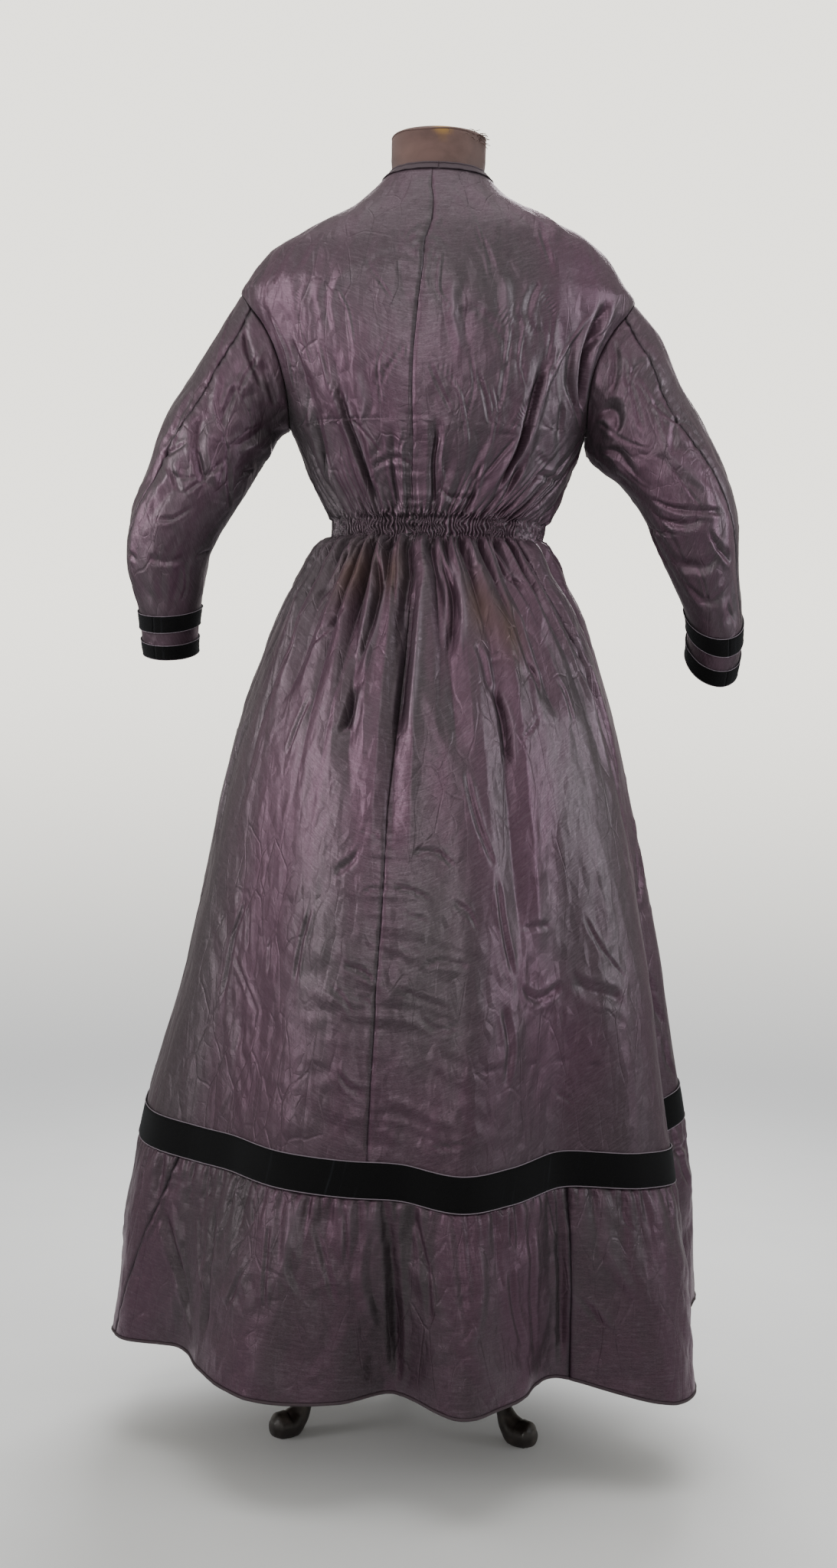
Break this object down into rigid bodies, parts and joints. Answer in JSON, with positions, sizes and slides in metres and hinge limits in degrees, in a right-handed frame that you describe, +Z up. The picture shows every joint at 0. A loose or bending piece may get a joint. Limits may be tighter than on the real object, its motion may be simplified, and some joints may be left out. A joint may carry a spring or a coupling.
{
  "type": "victorian wrapper dress on a dress form",
  "caption": "Long-sleeved, high-necked silk day dress, shirred at the back waist, with velvet bands and a gathered hem flounce, standing on a limbless dress form with a tripod base.",
  "frame": {"origin": "on the floor, under the middle of the whole object's box", "axes": "+Z up; the back of the dress, which the picture shows, faces -Y and its front +Y; its left sleeve is towards -X"},
  "size_m": [0.7244, 0.6064, 1.5],
  "materials": {
    "silk": "shot silk taffeta, crisp, dull purple with a green-grey sheen",
    "velvet": "black velvet ribbon pile",
    "button": "cloth covered",
    "form_cloth": "worn brown cloth over a smooth form",
    "stand": "dark brown paint, slightly glossy"
  },
  "bodies": {
    "root": {"back_left": "silk", "back_right": "silk", "front_right": "silk", "front_left": "silk", "flounce_back": "silk", "flounce_right": "silk", "flounce_front": "silk", "flounce_left": "silk", "sleeve_left_under": "silk", "sleeve_left_upper": "silk", "sleeve_right_under": "silk", "sleeve_right_upper": "silk", "hem_ribbon_back": "velvet", "hem_ribbon_front": "velvet", "neck_binding": "silk", "cuff_ribbon_left_upper": "velvet", "cuff_ribbon_left_lower": "velvet", "cuff_ribbon_right_upper": "velvet", "cuff_ribbon_right_lower": "velvet", "button_1": "button", "button_2": "button", "button_3": "button", "button_4": "button", "button_5": "button", "button_6": "button", "button_7": "button", "button_8": "button", "button_9": "button", "button_10": "button", "form_torso": "form_cloth", "form_collar": "stand", "form_pole": "stand", "form_hub": "stand", "form_leg_1": "stand", "form_leg_2": "stand", "form_leg_3": "stand"}
  },
  "joints": []
}
